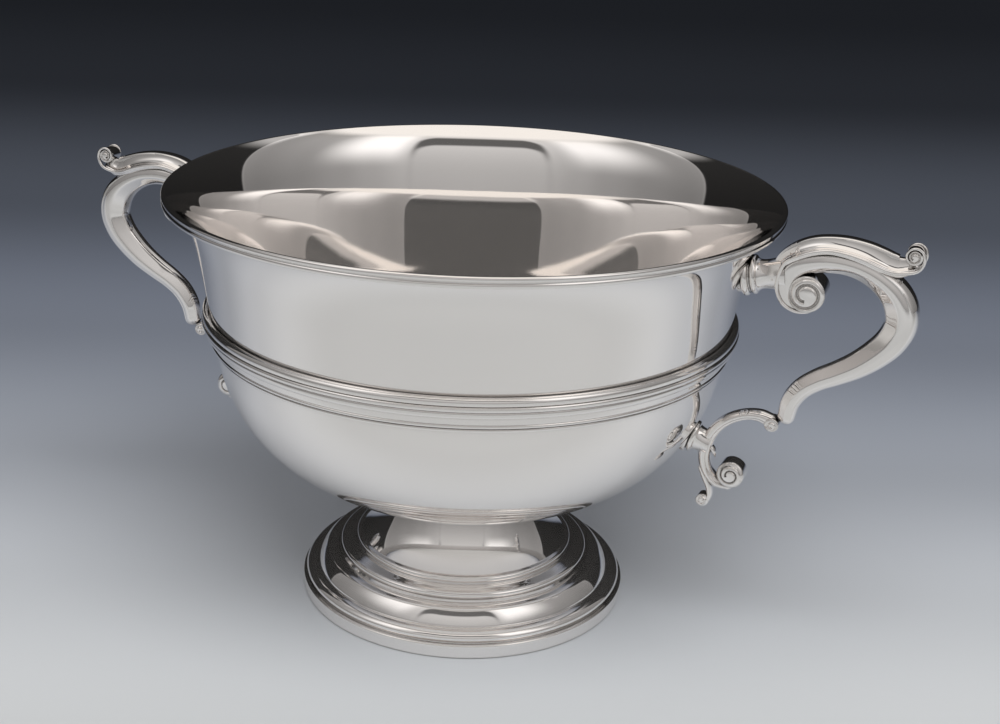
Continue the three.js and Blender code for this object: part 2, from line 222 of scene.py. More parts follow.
def smooth_through(stations, count):
    """A centripetal spline through rows of numbers, whose first two columns are the place."""
    rows = np.array(stations, float)
    rows = np.vstack([2 * rows[0] - rows[1], rows, 2 * rows[-1] - rows[-2]])
    gaps = np.linalg.norm(np.diff(rows[:, :2], axis=0), axis=1) ** 0.5
    knots = np.concatenate([[0], np.cumsum(np.maximum(gaps, 1e-6))])
    made = []
    for u in np.linspace(0, len(stations) - 1, count):
        i = min(int(u), len(stations) - 2)
        t0, t1, t2, t3 = knots[i:i + 4]
        t = t1 + (u - i) * (t2 - t1)
        p0, p1, p2, p3 = rows[i:i + 4]
        a1 = (t1 - t) / (t1 - t0) * p0 + (t - t0) / (t1 - t0) * p1
        a2 = (t2 - t) / (t2 - t1) * p1 + (t - t1) / (t2 - t1) * p2
        a3 = (t3 - t) / (t3 - t2) * p2 + (t - t2) / (t3 - t2) * p3
        b1 = (t2 - t) / (t2 - t0) * a1 + (t - t0) / (t2 - t0) * a2
        b2 = (t3 - t) / (t3 - t1) * a2 + (t - t1) / (t3 - t1) * a3
        made.append((t2 - t) / (t2 - t1) * b1 + (t - t1) / (t2 - t1) * b2)
    return np.array(made)


def grid_faces(rows, columns, around=True):
    """Quads of a grid of vertices. Each row closes on itself if it runs around."""
    faces = []
    for row in range(rows - 1):
        for column in range(columns if around else columns - 1):
            a = row * columns + column
            b = row * columns + (column + 1) % columns
            faces.append((a, b, b + columns, a + columns))
    return faces


def revolve(outline, segments, closed):
    """Vertices and faces of an outline turned about the Z axis. An open outline starts and ends on it."""
    body = outline if closed else outline[1:-1]
    angles = np.linspace(0, 2 * np.pi, segments, endpoint=False)
    ring = np.stack([np.cos(angles), np.sin(angles)], 1)
    vertices = np.concatenate([np.column_stack([r * ring, np.full(segments, z)]) for r, z in body])
    faces = grid_faces(len(body), segments)
    last = (len(body) - 1) * segments
    if closed:
        faces += [(last + i, last + (i + 1) % segments, (i + 1) % segments, i) for i in range(segments)]
        return vertices, faces
    tips = np.array([[0, 0, outline[0][1]], [0, 0, outline[-1][1]]])
    low, high = len(vertices), len(vertices) + 1
    faces += [((i + 1) % segments, i, low) for i in range(segments)]
    faces += [(last + i, last + (i + 1) % segments, high) for i in range(segments)]
    return np.vstack([vertices, tips]), faces


def hollow_depth(mesh, smoothing=2):
    """How far each vertex lies below its neighbours, against their distance: above 0 in grooves."""
    count = len(mesh.vertices)
    place = np.empty(count * 3)
    normal = np.empty(count * 3)
    edges = np.empty(len(mesh.edges) * 2, int)
    mesh.vertices.foreach_get("co", place)
    mesh.vertices.foreach_get("normal", normal)
    mesh.edges.foreach_get("vertices", edges)
    place, normal, edges = place.reshape(-1, 3), normal.reshape(-1, 3), edges.reshape(-1, 2)
    total, near = np.zeros(count), np.zeros(count)
    for here, there in ((edges[:, 0], edges[:, 1]), (edges[:, 1], edges[:, 0])):
        away = place[there] - place[here]
        length = np.maximum(np.linalg.norm(away, axis=1), 1e-9)
        np.add.at(total, here, (away * normal[here]).sum(1) / length)
        np.add.at(near, here, 1)
    depth = total / np.maximum(near, 1)
    for _ in range(smoothing):
        spread = depth.copy()
        np.add.at(spread, edges[:, 0], depth[edges[:, 1]])
        np.add.at(spread, edges[:, 1], depth[edges[:, 0]])
        depth = spread / (near + 1)
    return depth


def piece(name, vertices, faces, material, slot, nodes, turn=0.0):
    """A smooth mesh that stands for CAD nodes. Its vertices are in millimetres."""
    mesh = bpy.data.meshes.new(name)
    mesh.from_pydata((np.asarray(vertices) * MM).tolist(), [], faces)
    if turn:
        mesh.transform(Matrix.Rotation(turn, 4, "Z"))
    mesh.update()
    mesh.polygons.foreach_set("use_smooth", [True] * len(mesh.polygons))
    mesh.set_sharp_from_angle(angle=SHARP_ANGLE)
    grooves = mesh.attributes.new("hollow", "FLOAT", "POINT")
    grooves.data.foreach_set("value", hollow_depth(mesh))
    mesh.materials.append(material)
    made = bpy.data.objects.new(name, mesh)
    bpy.context.scene.collection.objects.link(made)
    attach(made, "root")
    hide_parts(*nodes)
    return made


def node_of(tree, kind, **values):
    """A shader node with some of its inputs and properties set."""
    made = tree.nodes.new(kind)
    for key, value in values.items():
        if hasattr(made, key):
            setattr(made, key, value)
        else:
            made.inputs[key.replace("_", " ")].default_value = value
    return made


def maths(tree, operation, a, b=None, c=None):
    """A math node fed by sockets or numbers. It returns its output."""
    made = node_of(tree, "ShaderNodeMath", operation=operation)
    for i, value in enumerate((a, b, c)):
        if isinstance(value, (int, float)):
            made.inputs[i].default_value = value
        elif value is not None:
            tree.links.new(value, made.inputs[i])
    return made.outputs["Value"]


def step_between(tree, value, low, high):
    """0 below low, 1 above high and a smooth rise between them."""
    made = node_of(tree, "ShaderNodeMapRange", interpolation_type="SMOOTHSTEP", From_Min=low, From_Max=high)
    tree.links.new(value, made.inputs["Value"])
    return made.outputs["Result"]


def silver(name, colour, polish, wave, scratch, haze):
    """Polished silver: wiping marks, fine scratches, a faint wave from the hammer, and painted shade that
    darkens the colour in grooves and nooks. The haze is the share of light that the scratches scatter, which
    fades out towards the lip."""
    material = bpy.data.materials.new(name)
    material.use_nodes = True
    tree = material.node_tree
    tree.nodes.clear()
    link = tree.links.new
    out = node_of(tree, "ShaderNodeOutputMaterial")
    metal = node_of(tree, "ShaderNodeBsdfPrincipled", Metallic=1.0)
    place = node_of(tree, "ShaderNodeTexCoord")
    link(metal.outputs["BSDF"], out.inputs["Surface"])

    cloud = node_of(tree, "ShaderNodeTexNoise", Scale=CLOUD_SCALE, Detail=4.0, Roughness=0.6)
    link(place.outputs["Object"], cloud.inputs["Vector"])
    wipe_space = node_of(tree, "ShaderNodeMapping", Scale=WIPE_SCALE, Rotation=WIPE_TURN)
    link(place.outputs["Object"], wipe_space.inputs["Vector"])
    wipe = node_of(tree, "ShaderNodeTexNoise", Scale=1.0, Detail=3.0, Roughness=0.7)
    link(wipe_space.outputs["Vector"], wipe.inputs["Vector"])
    marks = maths(tree, "MULTIPLY", cloud.outputs["Fac"], wipe.outputs["Fac"])
    shine = node_of(tree, "ShaderNodeMapRange", From_Min=0.1, From_Max=0.45, To_Min=polish)
    shine.inputs["To Max"].default_value = polish * WIPE_GAIN
    link(marks, shine.inputs["Value"])

    # Painted shade: grooves, and nooks that the occlusion finds, darken the base colour towards the crevice
    # colour.
    groove = node_of(tree, "ShaderNodeAttribute", attribute_name="hollow", attribute_type="GEOMETRY")
    dark = node_of(tree, "ShaderNodeMapRange", From_Min=0.04, From_Max=0.3, To_Max=GROOVE_PAINTED_SHADE)
    link(groove.outputs["Fac"], dark.inputs["Value"])
    nook = node_of(tree, "ShaderNodeAmbientOcclusion", samples=6, Distance=NOOK_DEPTH)
    shade = node_of(tree, "ShaderNodeMapRange", From_Min=0.75, From_Max=0.3, To_Max=NOOK_PAINTED_SHADE)
    link(nook.outputs["AO"], shade.inputs["Value"])
    deepest = maths(tree, "MAXIMUM", dark.outputs["Result"], shade.outputs["Result"])
    tint = node_of(tree, "ShaderNodeMix", data_type="RGBA")
    tint.inputs["A"].default_value = (*colour, 1)
    tint.inputs["B"].default_value = (*CREVICE_PAINTED_SHADE, 1)
    link(deepest, tint.inputs["Factor"])
    link(tint.outputs["Result"], metal.inputs["Base Color"])
    dull = maths(tree, "MULTIPLY_ADD", dark.outputs["Result"], GROOVE_DULLNESS, shine.outputs["Result"])

    swell = node_of(tree, "ShaderNodeTexNoise", Scale=SWELL_SCALE, Detail=1.5, Roughness=0.45)
    link(place.outputs["Object"], swell.inputs["Vector"])
    wave_bump = node_of(tree, "ShaderNodeBump", Strength=1.0, Distance=wave)
    link(swell.outputs["Fac"], wave_bump.inputs["Height"])
    scratch_space = node_of(tree, "ShaderNodeMapping", Scale=HAIRLINE_SCALE, Rotation=HAIRLINE_TURN)
    link(place.outputs["Object"], scratch_space.inputs["Vector"])
    hairlines = node_of(tree, "ShaderNodeTexNoise", Scale=1.0, Detail=2.0, Roughness=0.8)
    link(scratch_space.outputs["Vector"], hairlines.inputs["Vector"])
    scratch_bump = node_of(tree, "ShaderNodeBump", Strength=1.0, Distance=scratch)
    link(hairlines.outputs["Fac"], scratch_bump.inputs["Height"])
    low_haze, high_haze = HAZE_RANGE
    scuff = node_of(tree, "ShaderNodeMapRange", From_Min=0.5, From_Max=0.72)
    scuff.inputs["To Min"].default_value = low_haze * haze
    scuff.inputs["To Max"].default_value = high_haze * haze
    link(hairlines.outputs["Fac"], scuff.inputs["Value"])
    level = node_of(tree, "ShaderNodeSeparateXYZ")
    link(place.outputs["Object"], level.inputs["Vector"])
    lip_share = step_between(tree, level.outputs["Z"], *WORN_HEIGHT)
    worn = maths(tree, "MULTIPLY_ADD", lip_share, 1 - LIP_HAZE, -1.0)
    mirror = maths(tree, "MULTIPLY_ADD", scuff.outputs["Result"], worn, 1.0)
    link(mirror, metal.inputs["Metallic"])
    link(dull, metal.inputs["Roughness"])
    link(wave_bump.outputs["Normal"], scratch_bump.inputs["Normal"])
    link(scratch_bump.outputs["Normal"], metal.inputs["Normal"])
    return material


SPUN = silver("spun_silver_polish", *SPUN_LOOK)
FOOT = silver("foot_silver_polish", *FOOT_LOOK)
DRAWN = silver("drawn_silver_polish", *DRAWN_LOOK)
CAST = silver("cast_silver_polish", *CAST_LOOK)


def bowl_outer():
    """Outer face of the bowl from the centre of its underside to the lip."""
    angle = np.radians(90 - (90 - BELLY_TOP_ANGLE) * np.linspace(0, 1, 121) ** 0.8)
    power = 2 / BELLY_POWER
    belly = np.stack([
        BELLY_RADIUS * np.maximum(np.cos(angle), 0) ** power,
        BELLY_CENTRE - BELLY_DEPTH * np.sin(angle) ** power,
    ], 1)
    belly[0, 0] = 0
    end_r, end_z = belly[-1]
    low_r, low_z = WALL_BOTTOM
    lean_r, lean_z = SHOULDER_LEAN
    above, below = (end_r + lean_r, end_z + lean_z), (low_r - lean_r, low_z - lean_z)
    shoulder = bezier((end_r, end_z), above, below, WALL_BOTTOM, 12)
    up = np.array(FLARE_TURN)
    out = np.array([math.sin(math.radians(LIP_ANGLE)), math.cos(math.radians(LIP_ANGLE))])
    wall = bezier(WALL_BOTTOM, (low_r + 1.2, low_z + 8), FLARE_START - 9 * up, FLARE_START, 14)
    rise, run = FLARE_REACH
    flare = bezier(FLARE_START, FLARE_START + rise * up, LIP_EDGE - run * out, LIP_EDGE, 36)
    return chain(belly, shoulder, wall, flare)


def bowl_shell():
    """Spun bowl of even sheet with a rounded lip."""
    outer = bowl_outer()
    inner = offset(outer, SHEET)[::-1]
    inner[-1, 0] = 0
    middle = (outer[-1] + inner[0]) / 2
    edge = arc(*middle, SHEET / 2, LIP_ANGLE - 90, LIP_ANGLE + 90, 8)
    outline = chain(outer[:-1], edge, inner[1:])
    outline[0, 0] = outline[-1, 0] = 0
    piece("bowl_shell", *revolve(outline, BOWL_SEGMENTS, False), SPUN, "spun_silver", ["bowl_body"])


def rim_reeds():
    """Wire of two reeds, one above the other, that stiffens the lip."""
    outline = chain(
        line((159.0, 229.0), (162.6, 228.8), 4),
        arc(LIP_RADIUS - 1.45, 230.15, 1.45, -110, 52, 14),
        arc(LIP_RADIUS - 1.45, LIP_HEIGHT - 1.45, 1.45, -52, 112, 14),
        line((162.9, 233.7), (159.6, 230.2), 4),
    )
    piece("rim_reeds", *revolve(outline, BOWL_SEGMENTS, True), DRAWN, "drawn_silver", ["rim_wire"])


def girdle_reeds():
    """Wire of a broad reed, a bead and a smaller reed round the middle of the bowl."""
    outline = chain(
        arc(142.6, 161.3, 2.5, -70, 62, 12),
        arc(144.7, 164.3, 1.5, -58, 58, 8),
        arc(143.1, 167.2, 2.7, -38, 92, 14),
        (142.0, 169.5),
        (139.9, 159.2),
    )
    piece("girdle_reeds", *revolve(outline, BOWL_SEGMENTS, True), DRAWN, "drawn_silver", ["girdle_moulding"])


def girdle_fillet():
    """Flat fillet with two fine reeds below it."""
    outline = chain(
        (138.6, 150.9),
        arc(140.1, 152.0, 1.0, -75, 62, 8),
        arc(141.2, 154.3, 1.0, -70, 60, 8),
        line((141.9, 155.6), (142.4, 158.6), 3),
        arc(141.9, 158.7, 0.5, 10, 90, 3),
        (139.8, 158.9),
    )
    body = revolve(outline, BOWL_SEGMENTS, True)
    piece("girdle_fillet", *body, DRAWN, "drawn_silver", ["girdle_lower_wire"])


def foot_outer():
    """Outer face of the foot from its seat on the band up to the top of the neck."""
    return chain(
        (90.3, FOOT_BAND_HEIGHT + 0.1),
        (90.1, FOOT_BAND_HEIGHT + 0.8),
        bezier((90.3, 9.2), (91.9, 11.6), (88.4, 14.6), (84.4, 14.2), 22),
        bezier((84.0, 14.2), (83.7, 14.3), (83.6, 14.6), (83.5, 15.0), 4),
        bezier((83.4, 15.2), (82.4, 17.2), (80.8, 19.5), (79.0, 21.3), 16),
        bezier((78.8, 21.5), (78.0, 22.2), (77.2, 22.4), (75.6, 22.5), 6),
        line((74.8, 22.5), (72.2, 22.6), 3),
        arc(72.2, 22.9, 0.4, -90, -180, 4),
        arc(FOOT_RING_RADIUS - 1.4, 25.2, 2.2, -42, 88, 12),
        line((FOOT_RING_RADIUS - 2.6, 27.45), (FOOT_STEP_RADIUS + 1.4, 28.0), 4),
        arc(FOOT_STEP_RADIUS + 1.0, 28.4, 0.4, -90, -180, 3),
        arc(FOOT_STEP_RADIUS - 1.2, 30.0, 1.8, -28, 84, 10),
        bezier(
            (FOOT_STEP_RADIUS - 2.4, FOOT_STEP_HEIGHT + 0.1),
            (FOOT_STEP_RADIUS - 7.5, FOOT_STEP_HEIGHT + 3.6),
            (NECK_RADIUS + 2, FOOT_STEP_HEIGHT + 10.4),
            (NECK_RADIUS, NECK_TOP),
            34,
        ),
    )


def foot_shell():
    """Spun foot with its steps and trumpet neck, open underneath."""
    inner = chain(
        line((NECK_RADIUS - SHEET, NECK_TOP), (NECK_RADIUS - SHEET, 53), 3),
        bezier(
            (NECK_RADIUS - SHEET, 52),
            (NECK_RADIUS + 1.5, 42),
            (52, 33.5),
            (FOOT_STEP_RADIUS - 3, FOOT_STEP_HEIGHT - 2),
            12,
        ),
        (FOOT_STEP_RADIUS - 1.6, 26.6),
        (FOOT_RING_RADIUS - 2.4, 25),
        (FOOT_RING_RADIUS - 2, 21.2),
        bezier((71, 20.8), (78, 20), (84, 15.6), (85.6, FOOT_BAND_HEIGHT + 0.1), 12),
    )
    outline = chain(foot_outer(), inner)
    piece("foot_shell", *revolve(outline, FOOT_SEGMENTS, True), FOOT, "spun_silver", ["foot_dome"])


def foot_edge():
    """Plain upright band that the foot stands on."""
    inside = FOOT_RADIUS - FOOT_BAND_THICKNESS
    outline = chain(
        line((inside, 0), (FOOT_RADIUS - 1.0, 0), 2),
        arc(FOOT_RADIUS - 1.0, 0.6, 0.6, -90, 0, 4),
        line((FOOT_RADIUS - 0.4, 0.7), (FOOT_RADIUS, FOOT_BAND_HEIGHT - 1.2), 3),
        arc(FOOT_RADIUS - 0.9, FOOT_BAND_HEIGHT - 0.9, 0.9, 0, 90, 5),
        (inside, FOOT_BAND_HEIGHT),
    )
    piece("foot_edge", *revolve(outline, FOOT_SEGMENTS, True), DRAWN, "drawn_silver", ["foot_band"])


def neck_ring():
    """Ring that joins the neck of the foot to the bowl."""
    bottom = NECK_TOP - 0.2
    outline = chain(
        (NECK_RADIUS - 4, bottom),
        arc(COLLAR_RADIUS - 1.5, bottom + 1.5, 1.5, -90, 90, 8),
        (COLLAR_RADIUS - 1.0, bottom + 6.2),
        (NECK_RADIUS - 4, bottom + 5.4),
    )
    piece("neck_ring", *revolve(outline, FOOT_SEGMENTS, True), DRAWN, "drawn_silver", ["foot_collar"])


def sweep(stations, section, rings, end_rings=6):
    """A body along stations [x, z, rise, side, ...] with round ends. The section is a function of a
    station that gives points as parts of the rise, left of the path, and of the side, towards -Y."""
    rows = smooth_through(stations, rings)
    along = np.gradient(rows[:, :2], axis=0)
    along /= np.linalg.norm(along, axis=1, keepdims=True)
    angles = np.linspace(0, 1.45, end_rings + 1)[1:]
    plan = [(0, math.cos(a), -math.sin(a)) for a in angles[::-1]]
    plan += [(i, 1.0, 0.0) for i in range(rings)]
    plan += [(rings - 1, math.cos(a), math.sin(a)) for a in angles]
    vertices = []
    for i, shrink, shift in plan:
        x, z, rise, side = rows[i, :4]
        dx, dz = along[i]
        points = section(rows[i])
        lift = points[:, 0] * rise * shrink
        push = min(rise, side) * shift
        vertices.append(np.stack([
            x + dx * push - dz * lift, -points[:, 1] * side * shrink, z + dz * push + dx * lift], 1))
    sides = len(vertices[0])
    faces = grid_faces(len(vertices), sides)
    vertices = np.concatenate(vertices)
    first, last = vertices[:sides].mean(0), vertices[-sides:].mean(0)
    count = len(vertices)
    faces += [((i + 1) % sides, i, count) for i in range(sides)]
    faces += [(count - sides + i, count - sides + (i + 1) % sides, count + 1) for i in range(sides)]
    return np.vstack([vertices, first, last]), faces


def merged(*bodies):
    """Several bodies as the vertices and faces of one mesh."""
    vertices, faces, count = [], [], 0
    for body_vertices, body_faces in bodies:
        vertices.append(body_vertices)
        faces += [tuple(i + count for i in face) for face in body_faces]
        count += len(body_vertices)
    return np.vstack(vertices), faces


def mirrored(body):
    """The same body on the far side of the plane y = 0."""
    vertices, faces = body
    return vertices * (1, -1, 1), [tuple(reversed(face)) for face in faces]


def superellipse(power, sides):
    """A rounded section. A power above 2 squares it off."""
    angle = np.linspace(0, 2 * np.pi, sides, endpoint=False)
    c, s = np.cos(angle), np.sin(angle)
    return np.stack([np.sign(c) * abs(c) ** (2 / power), np.sign(s) * abs(s) ** (2 / power)], 1)


def tube(path, radius, sides=12):
    """A round wire along points in space, with a radius for each point and pointed ends."""
    path, radius = np.asarray(path, float), np.broadcast_to(radius, len(path)).copy()
    along = np.gradient(path, axis=0)
    along /= np.linalg.norm(along, axis=1, keepdims=True)
    across = np.cross(along, (0, 1, 0))
    across /= np.linalg.norm(across, axis=1, keepdims=True)
    third = np.cross(along, across)
    angle = np.linspace(0, 2 * np.pi, sides, endpoint=False)
    radius[0] = radius[-1] = 0.02
    rings = [
        path[i] + radius[i] * (np.cos(angle)[:, None] * across[i] + np.sin(angle)[:, None] * third[i])
        for i in range(len(path))
    ]
    faces = grid_faces(len(path), sides)
    faces.append(tuple(range(sides))[::-1])
    faces.append(tuple(range((len(path) - 1) * sides, len(path) * sides)))
    return np.concatenate(rings), faces


def spiral_distance(r, angle, inner, pitch, start, turns):
    """Distance to a spiral line that winds clockwise and outwards from a start angle in degrees."""
    nearest = np.full(np.broadcast(r, angle).shape, 99.0)
    wound = (math.radians(start) - angle) % (2 * np.pi)
    for lap in range(int(turns) + 1):
        passed = wound + 2 * np.pi * lap
        gap = abs(r - (inner + pitch * passed / (2 * np.pi)))
        nearest = np.where(passed <= turns * 2 * np.pi, np.minimum(nearest, gap), nearest)
    return nearest


def scroll_button(centre, radius, half_width, dome, groove, spiral, edge=0.9, rings=26, breadth=0.42):
    """A barrel across the handle whose two faces carry a raised spiral."""
    angle = np.linspace(0, 2 * np.pi, FACE_SEGMENTS, endpoint=False)
    radii = np.linspace(0, radius - edge, rings)[1:]
    rows = []
    for r in radii:
        gap = spiral_distance(r, angle, *spiral)
        crown = dome * (1 - (r / radius) ** 2)
        height = half_width + crown - groove * np.exp(-(gap / breadth) ** 2)
        rows.append(np.stack([r * np.cos(angle), height, r * np.sin(angle)], 1))
    bottom = rows[-1][:, 1]
    for turn in np.radians((25, 50, 75, 90)):
        r = radius - edge + edge * math.sin(turn)
        height = bottom - edge * (1 - math.cos(turn))
        rows.append(np.stack([r * np.cos(angle), height, r * np.sin(angle)], 1))
    near = rows[::-1]
    far = [row * (1, -1, 1) for row in rows]
    vertices = np.concatenate(far + near)
    faces = grid_faces(len(far) + len(near), FACE_SEGMENTS)
    tip = half_width + dome
    count, last = len(vertices), len(vertices) - FACE_SEGMENTS
    faces += [((i + 1) % FACE_SEGMENTS, i, count) for i in range(FACE_SEGMENTS)]
    faces += [(last + i, last + (i + 1) % FACE_SEGMENTS, count + 1) for i in range(FACE_SEGMENTS)]
    vertices = np.vstack([vertices, (0, -tip, 0), (0, tip, 0)])
    return vertices + (centre[0], 0, centre[1]), faces


def polar(centre, rows):
    """Points [x, z, ...] from rows of [angle in degrees, radius, ...] about a centre."""
    return [[centre[0] + r * math.cos(math.radians(a)), centre[1] + r * math.sin(math.radians(a)), *rest]
            for a, r, *rest in rows]


# Main scroll, as [x, z, rise, side, groove, squareness]: out of the big volute, over the crest and down to
# its tail
GRIP_STATIONS = [
    [185.5, 196.5, 2.2, 7.0, 0, 4.6],
    [179.6, 194.7, 2.6, 7.3, 0, 4.6],
    [173.3, 196.7, 3.3, 7.5, 0, 4.6],
    [169.9, 202.4, 4.0, 7.7, 0, 4.6],
    [170.8, 209.5, 4.9, 7.9, 0, 4.4],
    [175.3, 214.8, 5.5, 8.1, 0, 4],
    [182.5, 217.7, 5.8, 8.2, 0, 3.4],
    [190.5, 219.0, 6.1, 8.3, 0, 2.9],
    [199.0, 218.7, 6.0, 8.3, 0.2, 2.6],
    [207.3, 216.7, 6.3, 8.3, 0.6, 2.35],
    [215.8, 212.4, 7.0, 8.4, 1, 2.35],
    [222.8, 206.4, 8.0, 8.5, 1, 2.35],
    [226.8, 199.0, 8.5, 8.6, 0.8, 2.35],
    [227.4, 191.0, 8.3, 8.5, 0.5, 2.35],
    [224.0, 182.4, 8.0, 8.3, 0.3, 2.35],
    [218.4, 175.4, 7.6, 8.0, 0.3, 2.35],
    [209.6, 167.6, 6.9, 7.6, 0.4, 2.35],
    [200.4, 161.6, 6.2, 7.0, 0.5, 2.35],
    [190.6, 156.0, 5.7, 6.5, 0.7, 2.35],
    [183.1, 149.8, 5.4, 6.0, 1, 2.35],
    [178.4, 142.0, 5.1, 5.6, 1.2, 2.35],
    [176.9, 133.8, 4.6, 5.0, 1, 2.35],
]
# Half of its section from the outer face round to the inner one: a crown, a groove and three flats
GRIP_HALF = [
    (1, 0), (0.985, 0.25), (0.93, 0.5), (0.8, 0.74), (0.66, 0.9), (0.56, 0.93), (0.4, 0.96), (0.25, 1),
    (0, 1.01), (-0.06, 1.005), (-0.14, 0.975), (-0.3, 0.87), (-0.5, 0.735), (-0.7, 0.6), (-0.86, 0.48),
    (-0.95, 0.28), (-0.985, 0.12), (-1, 0),
]
GRIP_GROOVE = (0.55, 0.05, 0.075)
ROUND_POWER = 2.35
SQUARE_POWER = 4.6


def evenly(half, steps):
    """A half section with evenly spaced points."""
    half = np.array(half, float)
    run = np.concatenate([[0], np.cumsum(np.linalg.norm(np.diff(half, axis=0), axis=1))])
    at = np.linspace(0, run[-1], steps + 1)
    return np.stack([np.interp(at, run, half[:, 0]), np.interp(at, run, half[:, 1])], 1)


def grip_section(station):
    """Flat-sided section with a groove along each flank, squared off round the big volute."""
    steps = 36
    square = evenly(superellipse(station[5], 2 * steps)[:steps + 1], steps)
    flats = evenly(GRIP_HALF, steps)
    share = np.clip((station[5] - ROUND_POWER) / (SQUARE_POWER - ROUND_POWER), 0, 1)
    half = square * share + flats * (1 - share)
    place, width, depth = GRIP_GROOVE
    half[:, 1] *= 1 - depth * station[4] * np.exp(-((half[:, 0] - place) / width) ** 2)
    return np.vstack([half, half[1:-1][::-1] * (1, -1)])


# Cap over the crest, as [x, z, rise, side]; its line is the edge and the rise is to its raised top
STRAP_STATIONS = [
    [166.3, 211.8, 4.2, 7.6],
    [169.2, 216.4, 5.2, 8.6],
    [175.2, 220.6, 6.2, 9.2],
    [182.6, 223.9, 6.4, 9.4],
    [190.2, 225.4, 6.3, 9.5],
    [198.0, 224.9, 7.0, 9.5],
    [207.0, 222.8, 7.8, 9.2],
    [213.0, 220.5, 8.3, 8.4],
    [218.0, 218.6, 8.4, 7.2],
    [223.4, 217.8, 7.8, 6.0],
    [228.0, 219.2, 6.0, 5.2],
]


def strap_section(station):
    """Raised top, hollow flanks and a low edge on each side."""
    angle = np.radians(np.linspace(0, 90, 10))
    hollow = np.stack([0.95 - 0.73 * np.sin(angle), 0.84 - 0.46 * np.cos(angle)], 1)
    half = chain(
        line((1.05, 0.0), (1.03, 0.24), 3),
        [(1.01, 0.31), (0.98, 0.35)],
        hollow,
        [(0.2, 0.9), (0.15, 0.97), (0.0, 1.0), (-0.16, 0.95), (-0.26, 0.8)],
    )
    other = half[1:][::-1] * (1, -1)
    return np.vstack([half, line((-0.3, 0.5), (-0.3, -0.5), 4), other])


def strap_edges():
    """Fine wires along both edges of the cap, from the big volute round to the thumb scroll."""
    around_volute = polar(VOLUTE, [
        [305, 8.4, 6.9, 0.5], [285, 8.8, 7.1, 0.9], [265, 9.4, 7.2, 1.0], [240, 10.7, 7.3, 1.0],
        [210, 12.7, 7.4, 1.0], [180, 14.5, 7.5, 1.0], [160, 15.8, 7.8, 1.0],
    ])
    crest = [[x, z + 0.4, side - 0.6, 0.95] for x, z, _, side in STRAP_STATIONS[1:-1]]
    around_thumb = polar(THUMB, [
        [285, 7.2, 4.9, 0.9], [315, 5.9, 4.8, 0.85], [350, 5.0, 4.8, 0.8], [30, 4.6, 4.8, 0.75],
        [70, 4.4, 4.8, 0.7], [110, 4.2, 4.8, 0.65], [150, 4.0, 4.8, 0.6], [190, 3.7, 4.8, 0.5],
        [230, 3.4, 4.7, 0.3],
    ])
    rows = smooth_through(around_volute + crest + around_thumb, 260)
    near = tube(np.stack([rows[:, 0], -rows[:, 2], rows[:, 1]], 1), rows[:, 3])
    return merged(near, mirrored(near))


# Lower bracket, as [x, z, rise, side], from a small curl against the tail round to a ball volute
BRACKET_STATIONS = [
    [169.4, 129.6, 3.6, 4.2],
    [164.0, 131.4, 3.2, 4.4],
    [157.0, 131.0, 2.8, 4.5],
    [149.9, 128.1, 2.9, 4.6],
    [143.6, 123.2, 3.0, 4.8],
    [139.0, 116.5, 3.3, 5.0],
    [136.7, 109.0, 3.4, 5.0],
    [136.7, 101.5, 3.3, 4.9],
    [139.4, 94.6, 3.0, 4.8],
    [144.4, 90.2, 2.8, 5.0],
    [150.5, 89.6, 2.6, 5.2],
]
BUD_STATIONS = [
    [138.6, 110.4, 0.9, 2.0],
    [140.4, 108.3, 1.3, 2.4],
    [141.6, 106.0, 1.0, 1.9],
    [142.1, 103.9, 0.3, 0.7],
]
SPUR_STATIONS = [
    [135.4, 97.0, 1.8, 3.6],
    [137.9, 91.6, 2.0, 3.4],
    [140.2, 86.4, 1.8, 3.1],
    [140.9, 81.4, 1.6, 3.0],
    [139.4, 77.2, 1.4, 3.0],
]


def plain_section(power, sides):
    """The same rounded section at every station."""
    shape = superellipse(power, sides)
    return lambda station: shape


def bracket_section(station):
    """Oval with a groove along each flank."""
    shape = superellipse(2.2, 40)
    angle = np.degrees(np.arctan2(shape[:, 1], shape[:, 0]))
    return shape * (1 - 0.14 * np.exp(-((abs(angle) - 62) / 12) ** 2))[:, None]


def on_axis(axis, outline, segments=SOCKET_SEGMENTS):
    """A turned body whose axis leaves the bowl at a tilt, from [distance, radius] closed on the axis."""
    vertices, faces = revolve(np.array([(r, d) for d, r in outline]), segments, False)
    x, z, tilt = axis
    turn = Matrix.Rotation(math.radians(90 - tilt), 3, "Y")
    return vertices @ np.array(turn).T + (x, 0, z), faces


def seated(body):
    """The same body with what would come through the bowl's wall drawn back into the sheet."""
    vertices, faces = body
    outer = bowl_outer()
    reach = np.hypot(vertices[:, 0], vertices[:, 1])
    least = np.interp(vertices[:, 2], outer[:, 1], outer[:, 0]) - SHEET / 2
    grow = np.maximum(least / np.maximum(reach, 1), 1)
    return vertices * np.column_stack([grow, grow, np.ones(len(grow))]), faces


def upper_plate():
    """Thin round plate against the wall, under the turned collar."""
    outline = chain(
        (-3, 0),
        (-3, 8.8),
        line((-2.8, 8.8), (4.0, 8.8), 5),
        arc(4.0, 8.0, 0.8, 90, 0, 5),
        (4.8, 0),
    )
    return on_axis(UPPER_AXIS, outline)


def upper_socket():
    """Turned collar with a broad ring, a narrow one and a waist that runs into the big volute."""
    outline = chain(
        (4.6, 0),
        (4.6, 8.6),
        arc(6.6, 8.9, 1.95, 170, 10, 14),
        arc(8.9, 9.2, 0.5, 200, 330, 5),
        arc(11.0, 8.6, 1.5, 140, 15, 8),
        bezier((12.6, 8.6), (14, 7.4), (16, 7.0), (21, 8.0), 10),
        line((22, 8.2), (27, 8.8), 3),
        (27, 0),
    )
    return on_axis(UPPER_AXIS, outline)


